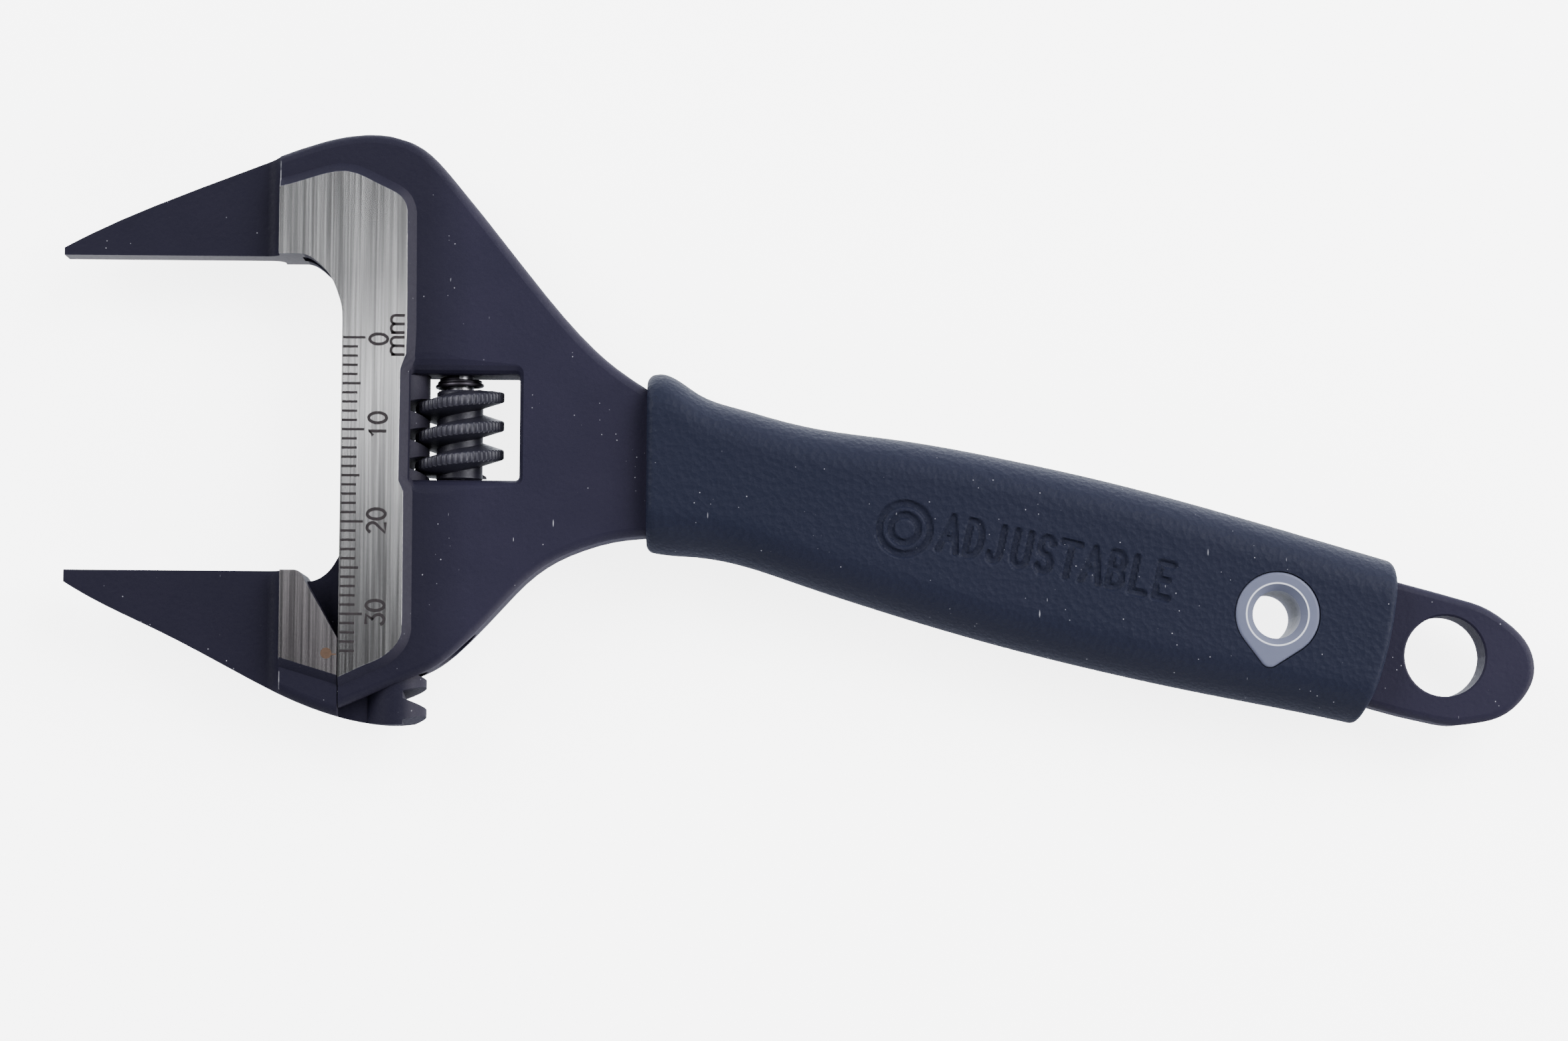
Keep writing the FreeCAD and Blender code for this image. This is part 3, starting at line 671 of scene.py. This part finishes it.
LETTERS = {
    "A": [[(0, 0), (0.5, 1), (1, 0)], [(0.2, 0.36), (0.8, 0.36)]],
    "B": [[(0.15, 0), (0.15, 1), (0.5, 1)] + arc(0.5, 0.76, 0.32, 0.24, 90, -90) + [(0.15, 0.52)],
          [(0.5, 0.52)] + arc(0.5, 0.26, 0.38, 0.26, 90, -90) + [(0.15, 0)]],
    "D": [[(0.15, 0), (0.15, 1), (0.4, 1)] + arc(0.4, 0.5, 0.5, 0.5, 90, -90) + [(0.15, 0)]],
    "E": [[(0.88, 1), (0.15, 1), (0.15, 0), (0.9, 0)], [(0.15, 0.52), (0.72, 0.52)]],
    "J": [[(0.7, 1), (0.7, 0.28)] + arc(0.4, 0.28, 0.3, 0.28, 0, -160)],
    "L": [[(0.15, 1), (0.15, 0), (0.88, 0)]],
    "S": [arc(0.5, 0.75, 0.36, 0.25, 25, 270) + arc(0.5, 0.25, 0.36, 0.25, 90, -155)],
    "T": [[(0.02, 1), (0.98, 1)], [(0.5, 1), (0.5, 0)]],
    "U": [[(0.12, 1), (0.12, 0.33)] + arc(0.5, 0.33, 0.38, 0.33, 180, 360) + [(0.88, 1)]],
}


def lettering():
    """Segments of a plain word and a round nut, pressed into the front of the grip."""
    lean = math.radians(WORD_LEAN)
    along = np.array([math.cos(lean), math.sin(lean)])
    up = np.array([-math.sin(lean), math.cos(lean)])
    start = np.array(WORD_START)
    segments = []
    for index, letter in enumerate(WORD):
        left = start + along * index * LETTER_PITCH
        for path in LETTERS[letter]:
            spots = [left + along * u * LETTER_WIDTH + up * v * LETTER_HEIGHT for u, v in path]
            segments += list(zip(spots, spots[1:]))
    for radius in NUT_RADII:
        spots = [np.array(p) for p in arc(*NUT_CENTRE, radius, radius, 0, 360, 40)]
        segments += list(zip(spots, spots[1:]))
    return segments


def press_lettering(rows):
    """Sink the front face under the strokes; gives each point's distance to a stroke."""
    front = rows[:, :FLAT_POINTS, :]
    xy = front[:, :, :2].reshape(-1, 2)
    near = np.full(len(xy), 9.0)
    for a, b in lettering():
        low = np.minimum(a, b) - STROKE_MARGIN
        high = np.maximum(a, b) + STROKE_MARGIN
        hit = np.all((xy > low) & (xy < high), axis=1)
        run = b - a
        if not hit.any() or not run.any():
            continue
        share = np.clip(((xy[hit] - a) @ run) / (run @ run), 0, 1)
        gap = np.linalg.norm(xy[hit] - a - share[:, None] * run, axis=1)
        near[hit] = np.minimum(near[hit], gap)
    wall = np.clip((STROKE_HALF - near) / STROKE_WALL, 0, 1)
    depth = STROKE_DEPTH * wall * wall * (3 - 2 * wall)
    front[:, :, 2] -= depth.reshape(front.shape[:2])
    return near.reshape(front.shape[:2])


def grain_noise(spot):
    """Two octaves of noise at a place in the drawing frame."""
    return noise.noise(spot * 1.7) + 0.6 * noise.noise(spot * 3.1 + Vector((9, 4, 2)))


def grain_relief(rows, near):
    """Leather grain: small bumps everywhere but in the pressed letters."""
    calm = np.ones(rows.shape[:2])
    calm[:, :FLAT_POINTS] = np.clip((near - 0.3) / 0.5, 0, 1) * 0.6
    calm[:2] = calm[-2:] = 0.0
    bumps = np.array([grain_noise(Vector(p)) for p in rows.reshape(-1, 3)])
    bumps = bumps.reshape(rows.shape[:2])
    along_y = np.roll(rows[:, :, 1], -1, axis=1) - np.roll(rows[:, :, 1], 1, axis=1)
    along_z = np.roll(rows[:, :, 2], -1, axis=1) - np.roll(rows[:, :, 2], 1, axis=1)
    size = np.hypot(along_y, along_z) + 1e-9
    lift = -np.abs(bumps) * GRAIN_DEPTH * calm
    rows[:, :, 1] -= lift * along_z / size
    rows[:, :, 2] += lift * along_y / size


def teardrop(grow):
    """Outline of the eyelet's flange, grown outwards."""
    outer = EYELET_OUTER + grow
    small = EYELET_TIP_RADIUS + grow
    lean = math.radians(EYELET_TIP_ANGLE)
    swing = math.acos((outer - small) / EYELET_TIP_REACH)
    tip_x = EYELET_X + EYELET_TIP_REACH * math.cos(lean)
    tip_y = EYELET_Y + EYELET_TIP_REACH * math.sin(lean)
    left = math.degrees(lean - swing)
    right = math.degrees(lean + swing)
    tip = arc(tip_x, tip_y, small, small, left, right, 12)
    return tip + arc(EYELET_X, EYELET_Y, outer, outer, right, left + 360, 72)


def slab(outline, low, high):
    """Closed prism over a flat outline."""
    count = len(outline)
    points = [(x, y, z) for z in (low, high) for x, y in outline]
    faces = [tuple(range(count))[::-1], tuple(count + k for k in range(count))]
    faces += [(k, (k + 1) % count, count + (k + 1) % count, count + k) for k in range(count)]
    return points, faces


def cut_with(obj, parts):
    """Cut closed shapes out of a piece, one after the other."""
    for part in parts:
        tool = new_mesh("cutter", *part, smooth=False)
        cut = obj.modifiers.new("cut", "BOOLEAN")
        cut.operation = "DIFFERENCE"
        cut.solver = "EXACT"
        cut.object = tool
        bpy.context.view_layer.update()
        evaluated = obj.evaluated_get(bpy.context.evaluated_depsgraph_get())
        result = bpy.data.meshes.new_from_object(evaluated)
        obj.modifiers.clear()
        obj.data = result
        bpy.data.objects.remove(tool)


def build_grip():
    rows = grip_surface()
    grain_relief(rows, press_lettering(rows))
    count = rows.shape[1]
    total = rows.shape[0]
    faces = []
    for i in range(total - 1):
        a = i * count
        b = a + count
        for k in range(count):
            j = (k + 1) % count
            faces.append((a + k, b + k, b + j, a + j))
    faces += end_faces(0, False) + end_faces((total - 1) * count, True)
    obj = new_mesh("grip_sleeve_moulded", rows.reshape(-1, 3).tolist(), faces)
    wide = EYELET_BARREL + SEAM
    through = arc(EYELET_X, EYELET_Y, wide, wide, 0, 360, 72)[:-1]
    pocket = teardrop(SEAM)
    deep = GRIP_HALF - EYELET_FLANGE - SEAM
    cut_with(obj, [slab(pocket, deep, GRIP_HALF + 2), slab(pocket, -GRIP_HALF - 2, -deep),
                   slab(through, -deep - 1, deep + 1)])
    set_sharp(obj, 40.0)
    dress(obj, grip_material())
    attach(obj, "frame")
    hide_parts("grip_sleeve")


def end_faces(base, far):
    """Close an end with strips that join each front point to the rear point behind it."""
    count = 2 * (FLAT_POINTS + TURN_POINTS)
    last_front = FLAT_POINTS + TURN_POINTS // 2 - 1
    opposite = 2 * FLAT_POINTS + TURN_POINTS - 1
    faces = []
    for k in range(last_front, last_front - count // 2 + 1, -1):
        strip = (k, k - 1, opposite - k + 1, opposite - k)
        face = tuple(base + corner % count for corner in strip)
        faces.append(face if far else face[::-1])
    return faces


# ---- scale and index mark --------------------------------------------------------------

def ribbon(path, width, low, high):
    """A closed flat strip of the given width along a path in the plane."""
    line = [Vector(p) for p in path]
    points = []
    for i, here in enumerate(line):
        before = line[max(i - 1, 0)]
        after = line[min(i + 1, len(line) - 1)]
        along = (after - before).normalized()
        side = Vector((-along.y, along.x)) * width / 2
        for z in (low, high):
            points.append((here.x + side.x, here.y + side.y, z))
            points.append((here.x - side.x, here.y - side.y, z))
    faces = []
    for i in range(len(line) - 1):
        a = i * 4
        b = a + 4
        faces += [(a + 2, a + 3, b + 3, b + 2), (a + 1, a, b, b + 1),
                  (a, a + 2, b + 2, b), (a + 3, a + 1, b + 1, b + 3)]
    end = 4 * (len(line) - 1)
    faces += [(0, 1, 3, 2), (end + 1, end, end + 2, end + 3)]
    return points, faces


STROKES = {
    "0": [arc(0.5, 0.5, 0.42, 0.5, 0, 360, 24)],
    "1": [[(0.16, 0.74), (0.52, 1.0), (0.52, 0.0)]],
    "2": [arc(0.5, 0.70, 0.40, 0.30, 160, -35) + [(0.08, 0.0), (0.94, 0.0)]],
    "3": [[(0.10, 1.0), (0.86, 1.0), (0.46, 0.62)] + arc(0.46, 0.31, 0.42, 0.31, 80, -160)],
    "m": [[(0.04, 0.0), (0.04, 0.98)], arc(0.27, 0.68, 0.23, 0.30, 180, 0) + [(0.50, 0.0)],
          arc(0.73, 0.68, 0.23, 0.30, 180, 0) + [(0.96, 0.0)]],
}


def glyphs(text, left_y, base_x, wide, tall, gap, stroke, low, high):
    """Text read from the bottom of the head upwards, with its top towards the jaws."""
    parts = []
    for index, letter in enumerate(text):
        start = left_y + index * (wide + gap)
        for path in STROKES[letter]:
            spots = [(base_x - v * tall, start + u * wide) for u, v in path]
            parts.append(ribbon(spots, stroke, low, high))
    return parts


def tick_reach(step):
    """How far a tick of the scale reaches from the ruled edge: long at tens, medium at fives."""
    if step % 10 == 0:
        return 2.55
    if step % 5 == 0:
        return 2.1
    return 1.75


def build_scale():
    low = PAD_HALF - MARK_SINK
    high = PAD_HALF + MARK_RISE
    parts = []
    for step in range(TICK_COUNT):
        y = TICK_FIRST_Y - step * TICK_PITCH
        parts.append(ribbon([(TICK_START_X, y), (tick_reach(step), y)], TICK_WIDTH, low, high))
    for text, left_y in NUMBERS:
        parts += glyphs(text, left_y, DIGIT_X, DIGIT_WIDTH, DIGIT_HEIGHT, DIGIT_GAP, DIGIT_STROKE,
                        low, high)
    unit_x, unit_y = UNIT_PLACE
    parts += glyphs("mm", unit_y, unit_x, UNIT_WIDTH, UNIT_HEIGHT, UNIT_GAP, UNIT_STROKE, low, high)
    obj = new_mesh("scale_marks", *merged(parts), smooth=False)
    dress(obj, mark_material("laser_mark_dark", (0.008, 0.007, 0.008), (0.030, 0.026, 0.028)))
    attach(obj, "frame")


def build_index_mark():
    low = PAD_HALF - MARK_SINK
    high = PAD_HALF + MARK_RISE
    rim = arc(*INDEX_DOT, INDEX_RADIUS, INDEX_RADIUS, 0, 360, 32)[:-1]
    line = ribbon(INDEX_LINE, INDEX_STROKE, low, high)
    obj = new_mesh("index_mark", *merged([slab(rim, low, high), line]), smooth=False)
    dress(obj, mark_material("laser_mark_brown", (0.040, 0.026, 0.018), (0.075, 0.048, 0.034)))
    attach(obj, "jaw")


# ---- setting ---------------------------------------------------------------------------

def build_floor():
    """A glowing white sheet just under the tool, left out of reflections."""
    half = 1.2
    corners = [(-half, -half, 0), (half, -half, 0), (half, half, 0), (-half, half, 0)]
    mesh = bpy.data.meshes.new("floor")
    mesh.from_pydata(corners, [], [(0, 1, 2, 3)])
    floor = bpy.data.objects.new("floor", mesh)
    bpy.context.scene.collection.objects.link(floor)
    floor.location.z = -0.0005
    floor.visible_glossy = False
    n = Nodes("pale_floor")
    node = n.tree.nodes.new("ShaderNodeBsdfPrincipled")
    node.inputs["Base Color"].default_value = (0.9, 0.9, 0.9, 1)
    node.inputs["Roughness"].default_value = 0.9
    node.inputs["Emission Color"].default_value = (1, 1, 1, 1)
    node.inputs["Emission Strength"].default_value = 4.5
    floor.data.materials.append(n.finish(node.outputs[0]))


def area_light(name, size, power, position, target):
    data = bpy.data.lights.new(name, "AREA")
    data.shape = "RECTANGLE"
    data.size, data.size_y = size
    data.energy = power
    lamp = bpy.data.objects.new(name, data)
    bpy.context.scene.collection.objects.link(lamp)
    lamp.location = position
    lamp.rotation_euler = (Vector(target) - Vector(position)).to_track_quat("-Z", "Y").to_euler()


def combine(tree, operation, a, b):
    node = tree.nodes.new("ShaderNodeMath")
    node.operation = operation
    tree.links.new(a, node.inputs[0])
    tree.links.new(b, node.inputs[1])
    return node.outputs[0]


def build_world():
    """A room with a dark ceiling, pale walls and a white sweep behind the tool."""
    world = bpy.data.worlds.new("studio")
    bpy.context.scene.world = world
    world.use_nodes = True
    tree = world.node_tree
    tree.nodes["Background"].inputs["Color"].default_value = (0.88, 0.92, 1.0, 1)
    direction = tree.nodes.new("ShaderNodeSeparateXYZ")
    tree.links.new(tree.nodes.new("ShaderNodeTexCoord").outputs["Generated"], direction.inputs[0])
    behind = map_range(tree, direction.outputs["Y"], 0.0, 0.5, 0.0, 1.0)
    low_down = map_range(tree, direction.outputs["Z"], 0.30, 0.0, 0.0, 1.0)
    sweep = map_range(tree, combine(tree, "MULTIPLY", behind, low_down), 0.0, 1.0, 0.0, 3.5)
    walls = map_range(tree, direction.outputs["Z"], 0.90, 0.40, 0.12, 0.75)
    total = combine(tree, "ADD", sweep, walls)
    tree.links.new(total, tree.nodes["Background"].inputs["Strength"])


def build_lights():
    """Five soft boxes, each with its size, power, place and the point that it faces."""
    area_light("softbox_back", (0.6, 0.5), 11.5, (0.42, 0.30, 0.50), (0, 0, 0))
    area_light("softbox_left", (0.5, 0.5), 9, (-0.55, 0.35, 0.50), (0, 0, 0))
    area_light("softbox_right", (0.3, 0.2), 5, (0.75, -0.05, 0.22), (0, 0, 0))
    area_light("softbox_front", (0.5, 0.4), 2.5, (0.10, -0.60, 0.42), (0, 0, 0))
    area_light("softbox_over", (0.10, 0.04), 0.2, (-0.05, 0.082, 0.70), (-0.05, 0.0, 0))


def build_camera():
    data = bpy.data.cameras.new("camera")
    data.sensor_width = 36.0
    data.lens = 100.0
    data.clip_start = 0.01
    data.clip_end = 10.0
    camera = bpy.data.objects.new("camera", data)
    bpy.context.scene.collection.objects.link(camera)
    position = Vector(CAMERA_PLACE)
    back = (position - Vector(CAMERA_TARGET)).normalized()
    right = Vector(CAMERA_RIGHT)
    right = (right - back * right.dot(back)).normalized()
    up = back.cross(right)
    turn = Matrix((right, up, back)).transposed().to_4x4()
    camera.matrix_world = Matrix.Translation(position) @ turn
    bpy.context.scene.camera = camera


def dress_cad():
    """Materials of the pieces that are shown as they are in the CAD frame."""
    nodes = frame["nodes"]
    body_steel = ((0.22, 0.22, 0.225), (0.56, 0.56, 0.57))
    jaw_steel = ((0.21, 0.20, 0.21), (0.53, 0.50, 0.52))
    dress(nodes["wrench_body"], forged_material("forged_body", 0.0, FIXED_SHOULDER_X, body_steel))
    dress(nodes["moving_jaw"], forged_material("forged_jaw", -OPENING, MOVING_SHOULDER_X, jaw_steel))
    dress(nodes["worm_pin"],
          steel_material("pin_turned", (0.20, 0.20, 0.22), (0.42, 0.41, 0.43), 0.34))
    dress(nodes["worm_spring"],
          steel_material("spring_wire", (0.030, 0.028, 0.036), (0.075, 0.068, 0.080), 0.34))
    plastic = eyelet_material()
    for name in ("eyelet_front", "eyelet_rear"):
        dress(nodes[name], plastic)


dress_cad()
build_worm()
build_grip()
build_scale()
build_index_mark()
build_floor()
build_world()
build_lights()
build_camera()
